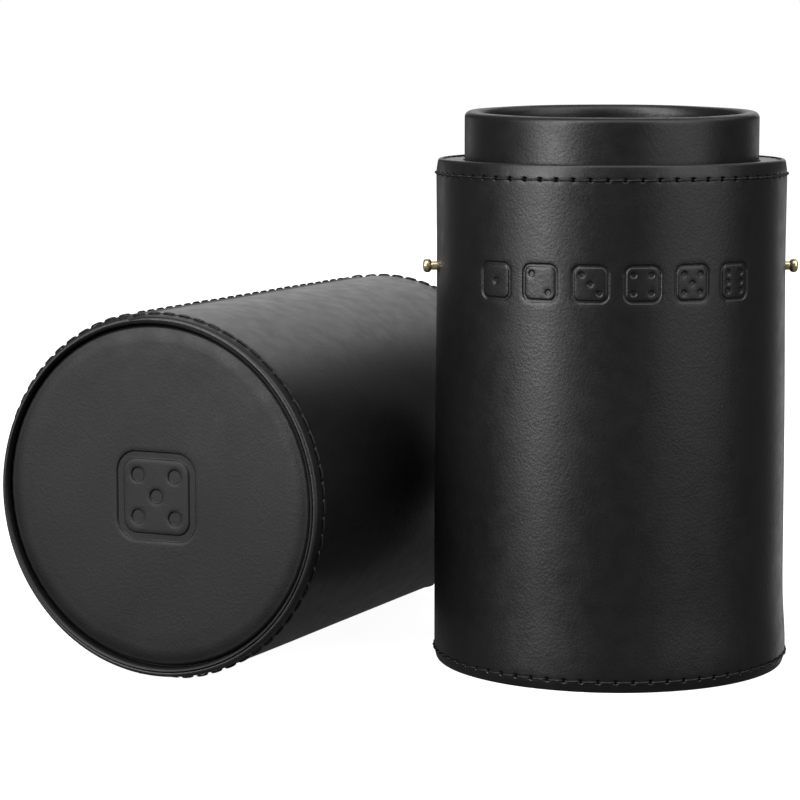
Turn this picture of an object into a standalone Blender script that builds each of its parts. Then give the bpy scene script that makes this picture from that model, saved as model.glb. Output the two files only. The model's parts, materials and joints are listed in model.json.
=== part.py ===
"""A leather dice cup with its slip-on lid: the cup stands open, and the lid lies on its side beside it.

Both are board tubes sheathed in leather. Lengths in this script are millimetres, scaled once to metres when
a mesh is made. Every turned piece is drawn as a profile of (radius, height) points round its own axis: the
cup's axis points up, and the lid's points from its closed end to its mouth.
"""

from math import acos, cos, pi, radians, sin

import bmesh
import bpy
from mathutils import Matrix, Vector

MM = 0.001
SEGMENTS = 48
ARC_STEPS = 3
CROWN_STEPS = 4
SHARP_ANGLE = radians(35.0)
FIT_GAP = 0.3

# Cup, from the table up
CUP_RADIUS = 38.0
SHOULDER_HEIGHT = 108.6
RIM_HEIGHT = 120.0
COLLAR_RADIUS = 31.6
BORE_RADIUS = 28.0
CORE_INNER_RADIUS = 31.9
COLLAR_SKIN_DEPTH = 12.0
LIP_ROUNDING = 0.7

# Lid, from its closed end to its mouth
LID_RADIUS = 38.8
LID_LENGTH = 114.0
LID_BORE_RADIUS = 32.3
MOUTH_ROUNDING = 0.4

# Leather, lining and thread
SLEEVE_THICKNESS = 1.3
TRIM_THICKNESS = 1.0
COLLAR_SKIN_THICKNESS = 0.8
LINING_THICKNESS = 0.7
FLOOR_LINING_THICKNESS = 1.2
EDGE_ROUNDING = 0.6
HEM_DEPTH = 8.0
THREAD_RADIUS = 0.3
THREAD_SIDES = 6
STITCH_GROOVE_WIDTH = 1.3
STITCH_GROOVE_DEPTH = 0.75
THREAD_BED_GAP = 0.1

# Ends: a stitched rim stands past a recessed end panel
RIM_RECESS = 3.6
FLANGE_SETBACK = 0.1
BOARD_THICKNESS = 2.5
FOAM_CROWN = 1.8
FOAM_INSET = 1.0
STITCH_FROM_END = 2.6
SEAM_MARGIN = 5.0
SEAM_END_GAP = 0.4

# Brass studs on the cup's left and right
STUD_HEIGHT = 85.9
STUD_HEAD_RADIUS = 1.5
STUD_HEAD_HALF_DEPTH = 0.95
STUD_NECK_RADIUS = 0.9
STUD_FOOT_RADIUS = 1.3
STUD_FOOT_THICKNESS = 0.35
STUD_REACH = 2.6
STUD_BORE_RADIUS = 0.65
STUD_BORE_DEPTH = 1.2
STUD_CLEARANCE = 0.25
STUD_ARC_STEPS = 8
SCREW_RADIUS = 0.45
SCREW_HEAD_RADIUS = 1.8
SCREW_HEAD_THICKNESS = 0.8
SMALL_SEGMENTS = 20
CUTTER_MARGIN = 5.0

# Layout on the table: the lid's closed end, seen from the cup's axis, and the way its mouth points
LID_END_X = -97.3
LID_END_Y = -23.2
LID_TURN = radians(25.3)
LID_SEAM_ANGLE = radians(-102.0)
CUP_SEAM_ANGLE = radians(90.0)

# Worked out from the sizes above
SHELL_INNER = CUP_RADIUS - SLEEVE_THICKNESS
CUP_FIT_RADIUS = SHELL_INNER - FIT_GAP
LID_SHELL_INNER = LID_RADIUS - SLEEVE_THICKNESS
LID_FIT_RADIUS = LID_SHELL_INNER - FIT_GAP
PANEL_BACK = RIM_RECESS + TRIM_THICKNESS
BOARD_FRONT = PANEL_BACK + FIT_GAP
BOARD_BACK = BOARD_FRONT + BOARD_THICKNESS
FLOOR_HEIGHT = BOARD_BACK + FIT_GAP
LID_BOARD_FRONT = PANEL_BACK + FOAM_CROWN
LID_BOARD_BACK = LID_BOARD_FRONT + BOARD_THICKNESS
LID_FLOOR = LID_BOARD_BACK + FIT_GAP


def paint(name, colour, roughness, metallic=0.0):
    material = bpy.data.materials.new(name)
    material.use_nodes = True
    shader = material.node_tree.nodes["Principled BSDF"]
    shader.inputs["Base Color"].default_value = (*colour, 1.0)
    shader.inputs["Roughness"].default_value = roughness
    shader.inputs["Metallic"].default_value = metallic
    material.diffuse_color = (*colour, 1.0)
    return material


def turned(name, profile, material, segments=SEGMENTS):
    """One solid, turned from a profile. A profile off the axis is closed back to its first point."""
    bm = bmesh.new()
    points = [bm.verts.new((radius * MM, 0.0, height * MM)) for radius, height in profile]
    edges = [bm.edges.new(pair) for pair in zip(points, points[1:])]
    if profile[0][0] > 0.0:
        edges.append(bm.edges.new((points[-1], points[0])))
    bmesh.ops.spin(
        bm,
        geom=points + edges,
        cent=(0.0, 0.0, 0.0),
        axis=(0.0, 0.0, 1.0),
        angle=2.0 * pi,
        steps=segments,
    )
    bmesh.ops.remove_doubles(bm, verts=bm.verts, dist=1e-6)
    bmesh.ops.recalc_face_normals(bm, faces=bm.faces)
    mesh = bpy.data.meshes.new(name)
    bm.to_mesh(mesh)
    bm.free()
    mesh.materials.append(material)
    mesh.shade_smooth()
    mesh.set_sharp_from_angle(angle=SHARP_ANGLE)
    obj = bpy.data.objects.new(name, mesh)
    bpy.context.collection.objects.link(obj)
    return obj


def tube(inner, outer, low, high):
    return [(inner, low), (outer, low), (outer, high), (inner, high)]


def disc(radius, low, high):
    return [(0.0, low), (radius, low), (radius, high), (0.0, high)]


def arc(centre, radius, start, end, steps=ARC_STEPS):
    """Points on a round stretch of a profile, from the start angle to the end angle."""
    angles = [start + (end - start) * step / steps for step in range(steps + 1)]
    return [(centre[0] + radius * cos(a), centre[1] + radius * sin(a)) for a in angles]


def thread_groove(outer, height):
    half = STITCH_GROOVE_WIDTH / 2.0
    floor = outer - STITCH_GROOVE_DEPTH
    return [(outer, height - half), (floor, height - half), (floor, height + half), (outer, height + half)]


def sleeve(outer, length, stitch_heights):
    """The outer leather: a thin tube with rounded edges and a sunk line for each row of stitches."""
    inner = outer - SLEEVE_THICKNESS
    rounded = outer - EDGE_ROUNDING
    profile = [(inner, 0.0)]
    profile += arc((rounded, EDGE_ROUNDING), EDGE_ROUNDING, -pi / 2.0, 0.0)
    for height in stitch_heights:
        profile += thread_groove(outer, height)
    profile += arc((rounded, length - EDGE_ROUNDING), EDGE_ROUNDING, 0.0, pi / 2.0)
    profile.append((inner, length))
    return profile


def stitch_ring(outer, height):
    """The row of stitches as one ring of thread, lying in its sunk line."""
    return arc((thread_centre(outer), height), THREAD_RADIUS, 0.0, 2.0 * pi, THREAD_SIDES)[:-1]


def thread_centre(outer):
    return outer - STITCH_GROOVE_DEPTH + THREAD_BED_GAP + THREAD_RADIUS


def crowned(radius, edge, crown):
    """Points from the axis out along a shallow dome that stands past its edge, towards the end, by crown."""
    shares = [step / CROWN_STEPS for step in range(CROWN_STEPS + 1)]
    return [(radius * share, edge - crown * (1.0 - share * share)) for share in shares]


def dished_end(fit_radius, crown):
    """An end panel of leather: a disc, crowned towards the end, with its edge turned out as a flange."""
    flange_inner = fit_radius - TRIM_THICKNESS
    front = crowned(flange_inner, RIM_RECESS, crown)
    back = crowned(flange_inner, PANEL_BACK, crown)
    flange = [(flange_inner, FLANGE_SETBACK), (fit_radius, FLANGE_SETBACK), (fit_radius, PANEL_BACK)]
    return front + flange + back[-2::-1]


def cutter(name, radius, half_length):
    """A rod across the cup through both studs, kept only to cut with."""
    bm = bmesh.new()
    bmesh.ops.create_cone(
        bm,
        cap_ends=True,
        segments=SMALL_SEGMENTS,
        radius1=radius * MM,
        radius2=radius * MM,
        depth=2.0 * half_length * MM,
        matrix=Matrix.Rotation(pi / 2.0, 4, "Y"),
    )
    bmesh.ops.translate(bm, vec=(0.0, 0.0, STUD_HEIGHT * MM), verts=bm.verts)
    return hidden_object(name, bm)


def seam_cutter(name, radius, angle, low, high):
    """A bar that sinks a straight line for the seam's thread into a sleeve."""
    width = STITCH_GROOVE_WIDTH
    bm = bmesh.new()
    bmesh.ops.create_cube(bm, size=1.0)
    bmesh.ops.scale(bm, vec=Vector((2.0 * STITCH_GROOVE_DEPTH, width, high - low)) * MM, verts=bm.verts)
    bmesh.ops.translate(bm, vec=Vector((radius, 0.0, (low + high) / 2.0)) * MM, verts=bm.verts)
    bmesh.ops.rotate(bm, cent=(0.0, 0.0, 0.0), matrix=Matrix.Rotation(angle, 3, "Z"), verts=bm.verts)
    return hidden_object(name, bm)


def hidden_object(name, bm):
    mesh = bpy.data.meshes.new(name)
    bm.to_mesh(mesh)
    bm.free()
    obj = bpy.data.objects.new(name, mesh)
    bpy.context.collection.objects.link(obj)
    obj.hide_render = True
    obj.display_type = "WIRE"
    return obj


def cut(target, tool):
    boolean = target.modifiers.new(tool.name, "BOOLEAN")
    boolean.operation = "DIFFERENCE"
    boolean.object = tool


def seam_thread(name, radius, angle, low, high, material):
    """The seam's stitches as one straight strand along the sleeve."""
    bm = bmesh.new()
    bmesh.ops.create_cone(
        bm,
        cap_ends=True,
        segments=THREAD_SIDES,
        radius1=THREAD_RADIUS * MM,
        radius2=THREAD_RADIUS * MM,
        depth=(high - low) * MM,
    )
    middle = Vector((thread_centre(radius), 0.0, (low + high) / 2.0))
    bmesh.ops.translate(bm, vec=middle * MM, verts=bm.verts)
    bmesh.ops.rotate(bm, cent=(0.0, 0.0, 0.0), matrix=Matrix.Rotation(angle, 3, "Z"), verts=bm.verts)
    mesh = bpy.data.meshes.new(name)
    bm.to_mesh(mesh)
    bm.free()
    mesh.materials.append(material)
    obj = bpy.data.objects.new(name, mesh)
    bpy.context.collection.objects.link(obj)
    return obj


def stud_profile():
    """A stud: a flattened ball for its head, a neck, a foot on the leather, and a barrel bored for a screw."""
    inner_end = -(SLEEVE_THICKNESS + FIT_GAP / 2.0)
    foot_under = FIT_GAP / 2.0
    foot_top = foot_under + STUD_FOOT_THICKNESS
    head_centre = STUD_REACH - STUD_HEAD_HALF_DEPTH
    flattening = STUD_HEAD_HALF_DEPTH / STUD_HEAD_RADIUS
    neck_angle = -acos(STUD_NECK_RADIUS / STUD_HEAD_RADIUS)
    head = arc((0.0, 0.0), STUD_HEAD_RADIUS, pi / 2.0, neck_angle, STUD_ARC_STEPS)
    profile = [(0.0, STUD_REACH)]
    profile += [(radius, head_centre + height * flattening) for radius, height in head[1:]]
    profile += [(STUD_NECK_RADIUS, foot_top), (STUD_FOOT_RADIUS, foot_top), (STUD_FOOT_RADIUS, foot_under)]
    profile += [(STUD_NECK_RADIUS, foot_under), (STUD_NECK_RADIUS, inner_end)]
    profile += [(STUD_BORE_RADIUS, inner_end), (STUD_BORE_RADIUS, STUD_BORE_DEPTH), (0.0, STUD_BORE_DEPTH)]
    return profile


def screw_profile():
    """A flat-headed screw that comes from inside the board tube and ends in the stud."""
    head_face = -(CUP_RADIUS - CORE_INNER_RADIUS) + FIT_GAP
    neck = head_face + SCREW_HEAD_THICKNESS
    tip = STUD_BORE_DEPTH - FIT_GAP
    profile = [(0.0, tip), (SCREW_RADIUS, tip), (SCREW_RADIUS, neck)]
    return profile + [(SCREW_HEAD_RADIUS, neck), (SCREW_HEAD_RADIUS, head_face), (0.0, head_face)]


def build_cup(paints):
    top_stitch = SHOULDER_HEIGHT - STITCH_FROM_END
    seam_low = STITCH_FROM_END + SEAM_MARGIN
    seam_high = top_stitch - SEAM_MARGIN
    flange_inner = CUP_FIT_RADIUS - TRIM_THICKNESS
    rebate_inner = flange_inner - FIT_GAP
    shoulder_under = SHOULDER_HEIGHT - TRIM_THICKNESS
    collar_skin_inner = COLLAR_RADIUS - COLLAR_SKIN_THICKNESS
    collar_skin_foot = SHOULDER_HEIGHT - COLLAR_SKIN_DEPTH
    bore_skin_inner = BORE_RADIUS + COLLAR_SKIN_THICKNESS
    turned_in = RIM_HEIGHT - HEM_DEPTH
    tube_top = RIM_HEIGHT - COLLAR_SKIN_THICKNESS - FIT_GAP

    outer = turned("cup_outer_leather", sleeve(CUP_RADIUS, SHOULDER_HEIGHT, [STITCH_FROM_END, top_stitch]),
                   paints["leather"])
    core = turned(
        "cup_core_tube",
        [
            (CORE_INNER_RADIUS, FLOOR_HEIGHT),
            (CUP_FIT_RADIUS, FLOOR_HEIGHT),
            (CUP_FIT_RADIUS, SHOULDER_HEIGHT - HEM_DEPTH - FIT_GAP),
            (rebate_inner, SHOULDER_HEIGHT - HEM_DEPTH - FIT_GAP),
            (rebate_inner, shoulder_under - FIT_GAP),
            (CORE_INNER_RADIUS, shoulder_under - FIT_GAP),
        ],
        paints["board"],
    )
    shoulder = turned(
        "shoulder_leather",
        [
            (CORE_INNER_RADIUS, shoulder_under),
            (flange_inner, shoulder_under),
            (flange_inner, SHOULDER_HEIGHT - HEM_DEPTH),
            (CUP_FIT_RADIUS, SHOULDER_HEIGHT - HEM_DEPTH),
            (CUP_FIT_RADIUS, SHOULDER_HEIGHT - FIT_GAP),
            (CUP_FIT_RADIUS - FIT_GAP, SHOULDER_HEIGHT),
            (CORE_INNER_RADIUS, SHOULDER_HEIGHT),
        ],
        paints["leather"],
    )
    collar = turned(
        "collar_tube",
        [
            (bore_skin_inner + FIT_GAP, FLOOR_HEIGHT),
            (COLLAR_RADIUS, FLOOR_HEIGHT),
            (COLLAR_RADIUS, collar_skin_foot - FIT_GAP),
            (collar_skin_inner - FIT_GAP, collar_skin_foot - FIT_GAP),
            (collar_skin_inner - FIT_GAP, tube_top),
            (bore_skin_inner + FIT_GAP, tube_top),
        ],
        paints["board"],
    )
    lip_height = RIM_HEIGHT - LIP_ROUNDING
    collar_skin = turned(
        "collar_leather",
        [(collar_skin_inner, collar_skin_foot), (COLLAR_RADIUS, collar_skin_foot)]
        + arc((COLLAR_RADIUS - LIP_ROUNDING, lip_height), LIP_ROUNDING, 0.0, pi / 2.0)
        + arc((BORE_RADIUS + LIP_ROUNDING, lip_height), LIP_ROUNDING, pi / 2.0, pi)
        + [(BORE_RADIUS, turned_in), (bore_skin_inner, turned_in)]
        + [(bore_skin_inner, tube_top + FIT_GAP), (collar_skin_inner, tube_top + FIT_GAP)],
        paints["leather"],
    )
    lining = turned(
        "cup_lining",
        tube(BORE_RADIUS, BORE_RADIUS + LINING_THICKNESS, FLOOR_HEIGHT, turned_in - FIT_GAP),
        paints["lining"],
    )
    base_board = turned("cup_base_board", disc(CUP_FIT_RADIUS, BOARD_FRONT, BOARD_BACK), paints["board"])
    base_leather = turned("cup_base_leather", dished_end(CUP_FIT_RADIUS, 0.0), paints["leather"])
    floor_lining = turned(
        "cup_floor_lining",
        disc(BORE_RADIUS - FIT_GAP, FLOOR_HEIGHT, FLOOR_HEIGHT + FLOOR_LINING_THICKNESS),
        paints["lining"],
    )
    top_thread = turned("cup_top_stitch", stitch_ring(CUP_RADIUS, top_stitch), paints["thread"])
    bottom_thread = turned("cup_bottom_stitch", stitch_ring(CUP_RADIUS, STITCH_FROM_END), paints["thread"])
    seam = seam_thread("cup_seam_stitch", CUP_RADIUS, CUP_SEAM_ANGLE, seam_low, seam_high, paints["thread"])

    past_the_cup = CUP_RADIUS + CUTTER_MARGIN
    screw_head_reach = CORE_INNER_RADIUS + SCREW_HEAD_THICKNESS + FIT_GAP
    seam_line = (CUP_SEAM_ANGLE, seam_low - SEAM_END_GAP, seam_high + SEAM_END_GAP)
    cut(outer, cutter("stud_hole_cutter", STUD_NECK_RADIUS + STUD_CLEARANCE, past_the_cup))
    cut(outer, seam_cutter("cup_seam_cutter", CUP_RADIUS, *seam_line))
    cut(core, cutter("screw_hole_cutter", SCREW_RADIUS + STUD_CLEARANCE, past_the_cup))
    cut(core, cutter("screw_head_cutter", SCREW_HEAD_RADIUS + STUD_CLEARANCE, screw_head_reach))

    fittings = []
    for side, sign in (("left", -1.0), ("right", 1.0)):
        for name, profile in (("stud", stud_profile()), ("stud_screw", screw_profile())):
            fitting = turned(f"{name}_{side}", profile, paints["brass"], SMALL_SEGMENTS)
            fitting.location = (sign * CUP_RADIUS * MM, 0.0, STUD_HEIGHT * MM)
            fitting.rotation_euler = (0.0, sign * pi / 2.0, 0.0)
            fittings.append(fitting)

    pieces = [outer, core, shoulder, collar, collar_skin, lining, base_board, base_leather, floor_lining]
    return pieces + [top_thread, bottom_thread, seam] + fittings


def build_lid(paints):
    mouth_stitch = LID_LENGTH - STITCH_FROM_END
    seam_low = STITCH_FROM_END + SEAM_MARGIN
    seam_high = mouth_stitch - SEAM_MARGIN
    flange_inner = LID_FIT_RADIUS - TRIM_THICKNESS
    lining_outer = LID_BORE_RADIUS + LINING_THICKNESS
    core_inner = LID_BORE_RADIUS + TRIM_THICKNESS + FIT_GAP
    mouth_face = LID_LENGTH - FIT_GAP
    mouth_back = mouth_face - TRIM_THICKNESS
    hem_edge = LID_LENGTH - HEM_DEPTH

    outer = turned("lid_outer_leather", sleeve(LID_RADIUS, LID_LENGTH, [STITCH_FROM_END, mouth_stitch]),
                   paints["leather"])
    core = turned(
        "lid_core_tube",
        [
            (core_inner, LID_FLOOR),
            (LID_FIT_RADIUS, LID_FLOOR),
            (LID_FIT_RADIUS, hem_edge - FIT_GAP),
            (flange_inner - FIT_GAP, hem_edge - FIT_GAP),
            (flange_inner - FIT_GAP, mouth_back - FIT_GAP),
            (core_inner, mouth_back - FIT_GAP),
        ],
        paints["board"],
    )
    mouth = turned(
        "lid_mouth_leather",
        [
            (LID_BORE_RADIUS, hem_edge),
            (LID_BORE_RADIUS + TRIM_THICKNESS, hem_edge),
            (LID_BORE_RADIUS + TRIM_THICKNESS, mouth_back),
            (flange_inner, mouth_back),
            (flange_inner, hem_edge),
            (LID_FIT_RADIUS, hem_edge),
            (LID_FIT_RADIUS, mouth_face),
            (LID_BORE_RADIUS + MOUTH_ROUNDING, mouth_face),
            (LID_BORE_RADIUS, mouth_face - MOUTH_ROUNDING),
        ],
        paints["leather"],
    )
    lining = turned(
        "lid_lining",
        tube(LID_BORE_RADIUS, lining_outer, LID_FLOOR, hem_edge - FIT_GAP),
        paints["lining"],
    )
    end_lining = turned(
        "lid_end_lining",
        disc(LID_BORE_RADIUS - FIT_GAP, LID_FLOOR, LID_FLOOR + FLOOR_LINING_THICKNESS),
        paints["lining"],
    )
    end_board = turned(
        "lid_end_board",
        disc(LID_FIT_RADIUS, LID_BOARD_FRONT, LID_BOARD_BACK),
        paints["board"],
    )
    foam_radius = flange_inner - FOAM_INSET
    foam_back = LID_BOARD_FRONT - FIT_GAP
    foam = turned(
        "lid_end_foam",
        crowned(foam_radius, PANEL_BACK + FIT_GAP, FOAM_CROWN) + [(foam_radius, foam_back), (0.0, foam_back)],
        paints["foam"],
    )
    end_leather = turned("lid_end_leather", dished_end(LID_FIT_RADIUS, FOAM_CROWN), paints["leather"])
    end_thread = turned("lid_end_stitch", stitch_ring(LID_RADIUS, STITCH_FROM_END), paints["thread"])
    mouth_thread = turned("lid_mouth_stitch", stitch_ring(LID_RADIUS, mouth_stitch), paints["thread"])
    seam = seam_thread("lid_seam_stitch", LID_RADIUS, LID_SEAM_ANGLE, seam_low, seam_high, paints["thread"])
    seam_line = (LID_SEAM_ANGLE, seam_low - SEAM_END_GAP, seam_high + SEAM_END_GAP)
    cut(outer, seam_cutter("lid_seam_cutter", LID_RADIUS, *seam_line))

    pieces = [outer, core, mouth, lining, end_lining, end_board, foam, end_leather]
    return pieces + [end_thread, mouth_thread, seam]


def place(name, pieces, location, turn, lean=0.0, lift=0.0):
    """Hangs pieces on a named empty. Lean tips their own axis from upright towards the empty's +Y."""
    empty = bpy.data.objects.new(name, None)
    bpy.context.collection.objects.link(empty)
    empty.location = Vector(location) * MM
    empty.rotation_euler = (0.0, 0.0, turn)
    seat = Matrix.Translation((0.0, 0.0, lift * MM)) @ Matrix.Rotation(-lean, 4, "X")
    for piece in pieces:
        piece.parent = empty
        piece.matrix_local = seat @ piece.matrix_basis
    return empty


def cutters_of(pieces):
    return [modifier.object for piece in pieces for modifier in piece.modifiers if modifier.type == "BOOLEAN"]


def main():
    for obj in list(bpy.data.objects):
        bpy.data.objects.remove(obj, do_unlink=True)
    paints = {
        "leather": paint("black_leather", (0.018, 0.018, 0.018), 0.45),
        "board": paint("grey_board", (0.35, 0.29, 0.22), 0.9),
        "lining": paint("black_lining", (0.012, 0.012, 0.013), 0.9),
        "thread": paint("black_thread", (0.010, 0.010, 0.010), 0.6),
        "foam": paint("grey_foam", (0.25, 0.25, 0.25), 0.95),
        "brass": paint("pale_brass", (0.80, 0.62, 0.30), 0.25, 1.0),
    }
    cup_pieces = build_cup(paints)
    lid_pieces = build_lid(paints)

    # The frame's origin is the bottom centre of the box round the cup and the lid.
    left = LID_END_X - LID_RADIUS * cos(LID_TURN)
    right = CUP_RADIUS + STUD_REACH
    front = LID_END_Y - LID_RADIUS * sin(LID_TURN)
    back = LID_END_Y + LID_LENGTH * cos(LID_TURN) + LID_RADIUS * sin(LID_TURN)
    cup_x = -(left + right) / 2.0
    cup_y = -(front + back) / 2.0

    place("cup_axis", cup_pieces + cutters_of(cup_pieces), (cup_x, cup_y, 0.0), 0.0)
    # The lid tips about the line where the edge of its closed end meets the table, which is this empty's X.
    place(
        "lid_tip_line",
        lid_pieces + cutters_of(lid_pieces),
        (cup_x + LID_END_X, cup_y + LID_END_Y, 0.0),
        -LID_TURN,
        lean=pi / 2.0,
        lift=LID_RADIUS,
    )


main()
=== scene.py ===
"""The finished look of a leather dice cup and its slip-on lid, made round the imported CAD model.

Lengths are millimetres, and become metres when a mesh is made. Each piece is drawn round its body's axis,
Z. The cup's points up, and the lid's points from its closed end to its mouth, with the lid's own Y up.
"""

import json
from math import ceil, cos, hypot, pi, radians, sin, tan

import bpy
import numpy as np
from mathutils import Matrix, Vector


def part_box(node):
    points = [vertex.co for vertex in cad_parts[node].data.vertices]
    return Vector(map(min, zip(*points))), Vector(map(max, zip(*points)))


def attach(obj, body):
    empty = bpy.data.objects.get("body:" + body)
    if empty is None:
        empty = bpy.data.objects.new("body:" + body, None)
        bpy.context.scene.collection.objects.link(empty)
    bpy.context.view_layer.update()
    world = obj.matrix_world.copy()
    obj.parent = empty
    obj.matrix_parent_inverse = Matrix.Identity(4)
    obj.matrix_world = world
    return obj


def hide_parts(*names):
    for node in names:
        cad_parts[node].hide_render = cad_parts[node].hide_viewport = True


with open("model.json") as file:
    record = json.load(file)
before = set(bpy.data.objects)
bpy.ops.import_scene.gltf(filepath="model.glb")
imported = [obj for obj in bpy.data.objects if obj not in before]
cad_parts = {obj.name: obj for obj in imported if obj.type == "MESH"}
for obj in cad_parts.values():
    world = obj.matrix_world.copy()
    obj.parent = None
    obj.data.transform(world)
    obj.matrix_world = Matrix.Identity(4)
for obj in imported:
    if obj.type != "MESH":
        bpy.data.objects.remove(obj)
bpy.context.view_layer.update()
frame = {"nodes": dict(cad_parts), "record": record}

# Units and directions. Angles go round a body's axis, and the cup's front faces -Y
MM = 0.001
UP = Vector((0.0, 0.0, 1.0))
FRONT = -pi / 2.0
BACK = pi / 2.0

# Camera, from the foot of the cup's axis; its clipping distances are metres
CAMERA_PLACE = (-45.5, -626.9, 134.1)
CAMERA_PITCH = radians(7.05)
CAMERA_LENS = 130.7
CAMERA_SENSOR = 36.0
CAMERA_CLIP = (0.05, 50.0)

# Stage and lights, in metres. A soft box is its name, its azimuth, elevation, width and height in degrees,
# and its brightness
FLOOR_HALF_SIZE = 6.0
FLOOR_GLOW = 0.96
FLOOR_GLOW_SPAN = (0.25, 1.2)
SURROUND = 0.09
LIGHT_DISTANCE = 1.3
LIGHT_AIM_HEIGHT = 0.07
SOFT_BOXES = (
    ("key", -49.0, 13.0, 46.0, 26.0, 2.1),
    ("key_core", -48.0, 5.0, 18.0, 13.0, 10.5),
    ("fill", 51.0, 9.0, 46.0, 25.0, 1.5),
    ("back", 172.0, 28.0, 40.0, 50.0, 0.9),
    ("key_high", -46.0, 38.0, 30.0, 40.0, 5.0),
    ("fill_high", 50.0, 38.0, 30.0, 40.0, 2.0),
    ("top", 0.0, 62.0, 50.0, 40.0, 1.4),
    ("side", 88.0, 45.0, 50.0, 26.0, 1.0),
    ("rim_right", 145.0, -9.0, 24.0, 20.0, 0.6),
    ("rim_left", -150.0, -3.0, 16.0, 16.0, 0.4),
)

# Leather and lining, and how deep the pieces are set in one another
SLEEVE_THICKNESS = 1.3
TRIM_THICKNESS = 1.0
SKIN_THICKNESS = 0.8
FLANGE_THICKNESS = 0.7
LINING_THICKNESS = 0.7
FLOOR_PAD_THICKNESS = 1.2
EDGE_ROUNDING = 0.6
INNER_ROUNDING = 0.2
HEM_DEPTH = 8.0
FIT_GAP = 0.3
PANEL_DEPTH = 3.6
LID_FLOOR = 9.2

# How far each trim fills the gap beside its sleeve
SNUG = {"shoulder": 0.05, "base": 0.1, "end": 0.15, "mouth": 0.1}

# Sleeves: the tuck at their edges, the cup's raised upper edge, its waist and its flared foot, the lid's
# pinched rim, and the leather's waves as (size, how many round, height per radian, phase)
RIM_TUCK = 0.4
EDGE_RISE = 0.5
SHOULDER_SINK = 0.35
WAIST_DEPTH = 0.45
WAIST_HEIGHT = 88.0
WAIST_REACH = 34.0
FOOT_FLARE = 0.35
FOOT_HEIGHT = 4.0
FOOT_REACH = 8.0
PINCH_DEPTH = 0.85
PINCH_ANGLE = radians(25.0)
PINCH_SPREAD = radians(55.0)
PINCH_HEIGHT = 5.0
WAVES = ((0.02, 3.0, 21.0, 0.0), (0.02, 5.0, -13.0, 1.3), (0.012, 11.0, 7.0, 0.7))

# The collar's lip: how far it is lowered all round, half of what it is lowered more in front, the width and
# fall of its slope into the bore, and the rounding of its outer edge
LIP_DROP = 0.1
LIP_TILT = 0.75
LIP_SLOPE = (1.3, 2.2)
LIP_EDGE = 1.3

# Studs: the head's half depth and rounding, the neck, the screw's bore, and the slot
STUD_HALF_DEPTH = 0.95
STUD_EDGE = 0.8
STUD_NECK_RADIUS = 0.95
STUD_BORE_RADIUS = 0.65
STUD_BORE_END = 1.2
STUD_CELL = 0.05
SLOT_HALF_WIDTH = 0.22
SLOT_HALF_LENGTH = 1.15
SLOT_DEPTH = 0.42
SLOT_TURN = 0.9

# Meshes: the widest cells, how often they may be halved, the finest cell wanted, and the columns round
# each turned piece
BASE_CELL = 1.8
PANEL_CELL = 1.2 * BASE_CELL
ARC_STEP = 0.16
FINE_LEVELS = 4
FINEST_CELL = 0.12
COLUMNS = {"collar": 132, "lining": 480, "pad": 160, "base": 240, "stud": 48, "end": 132, "mouth": 402}

# Rows of stitches and seams
RING_STITCHES = {"cup": 66, "lid": 67}
STITCH_FROM_END = 2.4
TOP_ROW_HEIGHT = 106.0
TOP_ROW_PHASE = radians(0.4)
BOTTOM_ROW_PHASE = radians(4.1)
LID_END_ROW_HEIGHT = 2.6
MOUTH_ROW_PHASE = 0.03
SEAM_STITCHES = {"cup": 24, "lid": 25}
SEAM_MARGIN = 7.6
LID_SEAM_ANGLE = radians(78.0)
LAP_OFFSET = 2.2
LAP_STEP = 0.42
LAP_FADE = 3.5
LAP_EDGE = 0.18

# Stitch holes, the bed between them, and the leather drawn down round each hole
HOLE_HALF_LENGTH = 0.56
HOLE_HALF_WIDTH = 0.46
HOLE_DEPTH = 0.75
BED_HALF_WIDTH = 0.45
BED_DEPTH = 0.05
DRAWN_DEPTH = 0.05
DRAWN_REACH = 1.0

# Threads: the radius, how proud a stitch's centre lies, and the half width of its dip at a hole, for the
# rows and for the thicker seams. Then the dip's depth, the stitches' unevenness, and the plies
THREAD_RADIUS = 0.23
THREAD_PROUD = 0.18
THREAD_GAP = 0.42
SEAM_THREAD_RADIUS = 0.3
SEAM_PROUD = 0.14
SEAM_GAP = 0.6
THREAD_DIVE = 0.85
THREAD_UNEVENNESS = 0.04
THREAD_SLANT = (0.05, 0.2)
THREAD_LAP_EDGE = 0.8
THREAD_FLOOR_GAP = 0.02
THREAD_SIDES = 12
THREAD_STEPS = 26
PLIES = 3
PLY_RIDGE = 0.24
TWISTS = 3

# Pressed die faces. The stroke, corners and pips are shares of a face's size
CUP_FACE_SIZE = 8.0
CUP_FACE_HEIGHT = 84.85
CUP_FACE_SPACING = radians(16.4)
CUP_FACE_MIDDLE = radians(-92.2)
CUP_PRESS_DEPTH = 0.26
LID_FACE_SIZE = 19.0
LID_PRESS_DEPTH = 0.4
PRESS_EDGE = 0.24
PRESS_DRAW = 0.14
PRESS_REACH = 0.45
CUP_MARK_MARGIN = 0.5
LID_MARK_MARGIN = 0.6
FACE_STROKE = 0.085
FACE_CORNER = 0.2
PIP_SPACING = 0.235
PIP_RADIUS = 0.08
PIPS = {
    1: [(0, 0)],
    2: [(-1, 1), (1, -1)],
    3: [(-1, 1), (0, 0), (1, -1)],
    4: [(-1, 1), (1, 1), (-1, -1), (1, -1)],
    5: [(-1, 1), (1, 1), (0, 0), (-1, -1), (1, -1)],
    6: [(-1, 1), (-1, 0), (-1, -1), (1, 1), (1, 0), (1, -1)],
}


# ------------------------------ places and sizes, from the frame


def size_of(node):
    low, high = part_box(node)
    return (high - low) / MM


def mount(name):
    return next(m for m in frame["record"]["mounts"] if m["name"] == name)


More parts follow.
